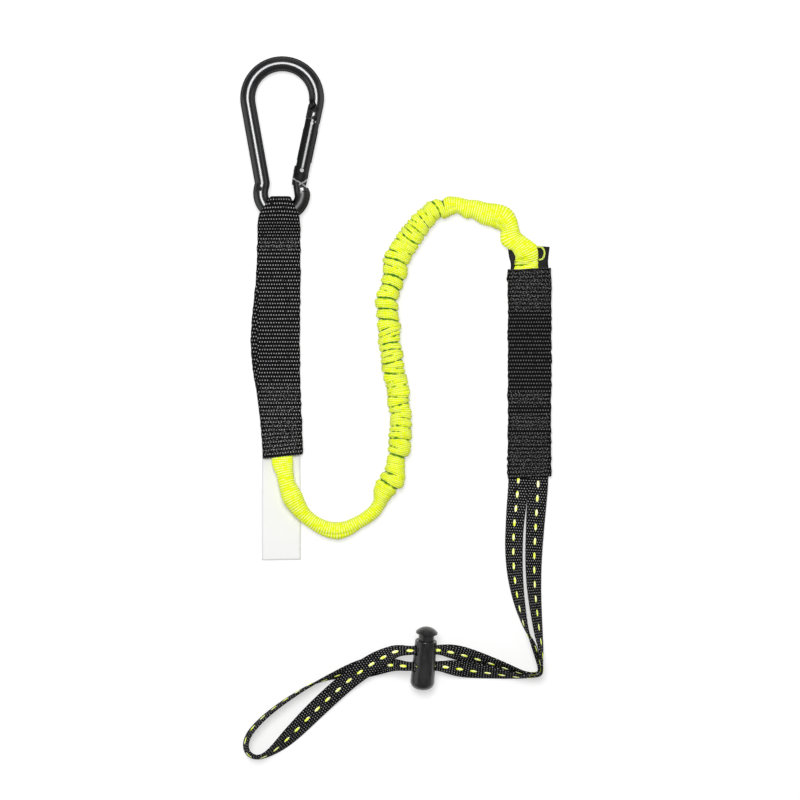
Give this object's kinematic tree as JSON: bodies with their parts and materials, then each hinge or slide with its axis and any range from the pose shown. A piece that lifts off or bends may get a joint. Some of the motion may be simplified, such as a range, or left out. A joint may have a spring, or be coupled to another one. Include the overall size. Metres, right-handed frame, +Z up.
{
  "type": "shock absorbing tool lanyard",
  "caption": "Elastic tool lanyard with a spring-gate carabiner, sewn webbing handles, a gathered bungee and a choke loop closed by a cord lock.",
  "frame": {"origin": "middle of the footprint of the carabiner, handles and cord lock, on the surface that the lanyard lies on", "axes": "+Y along the handles towards the carabiner, +X from the anchor handle to the tool handle, +Z up from the surface"},
  "size_m": [0.1863, 0.4212, 0.0213],
  "materials": {
    "black_webbing": "woven polyester webbing",
    "smooth_tape": "smooth coated tape",
    "black_thread": "bonded sewing thread",
    "white_satin": "satin ribbon",
    "bright_sleeve": "woven tubular sleeve, yellow-green",
    "elastic": "elastic cord",
    "bright_thread": "thick thread, yellow-green",
    "loop_webbing": "narrow webbing with bright tracer",
    "anodised_black": "satin black anodised",
    "bare_steel": "bright steel",
    "lock_plastic": "moulded matte plastic"
  },
  "bodies": {
    "lanyard": {"anchor_strap": "black_webbing", "anchor_tack_stitches": "black_thread", "anchor_middle_stitches": "black_thread", "anchor_end_stitches": "black_thread", "blank_tag": "white_satin", "bungee_sleeve": "bright_sleeve", "bungee_core": "elastic", "bungee_anchor_end": "bright_sleeve", "bungee_tool_end": "bright_sleeve", "tool_strap_back": "black_webbing", "tool_strap_front": "black_webbing", "back_tab": "smooth_tape", "thread_loop": "bright_thread", "tool_upper_stitches": "black_thread", "tool_middle_stitches": "black_thread", "tool_lower_stitches": "black_thread", "loop_strap": "loop_webbing"},
    "carabiner": {"carabiner_body": "anodised_black", "anchor_fold": "black_webbing"},
    "gate": {"carabiner_gate": "anodised_black", "gate_pivot_pin": "anodised_black", "gate_latch_pin": "bare_steel", "gate_spring": "bare_steel"},
    "spring_plunger": {"gate_plunger": "bare_steel"},
    "cord_lock": {"lock_barrel": "lock_plastic", "lock_spring": "bare_steel"},
    "lock_button": {"lock_plunger": "lock_plastic"}
  },
  "joints": [
    {"name": "carabiner_swing", "type": "hinge", "parent": "lanyard", "child": "carabiner", "pos_m": [-0.0679, 0.08, 0.0015], "axis": [1, 0, 0], "range_deg": [-60, 90], "deforming": ["anchor_fold"]},
    {"name": "gate_hinge", "type": "hinge", "parent": "carabiner", "child": "gate", "pos_m": [-0.0559, 0.1204, 0.0058], "axis": [0, 0.0194, 0.9998], "range_deg": [0, 30], "stiffness_Nm_per_rad": 0.15, "springref_deg": -17.19},
    {"name": "plunger_slide", "type": "slide", "parent": "gate", "child": "spring_plunger", "axis": [0.2056, 0.9784, -0.019], "range_m": [0, 0.00121], "deforming": ["gate_spring"]},
    {"name": "lock_slide", "type": "slide", "parent": "lanyard", "child": "cord_lock", "axis": [0.9962, -0.0872, 0], "range_m": [-0.014, 0.012], "deforming": ["loop_strap"]},
    {"name": "lock_press", "type": "slide", "parent": "cord_lock", "child": "lock_button", "axis": [-0.0853, -0.9744, -0.2079], "range_m": [0, 0.0028], "stiffness_N_per_m": 1500, "springref_m": -0.002, "deforming": ["lock_spring"]}
  ],
  "couplings": [
    {"joint": "plunger_slide", "follows": "gate_hinge", "m_per_rad": 0.002292}
  ]
}
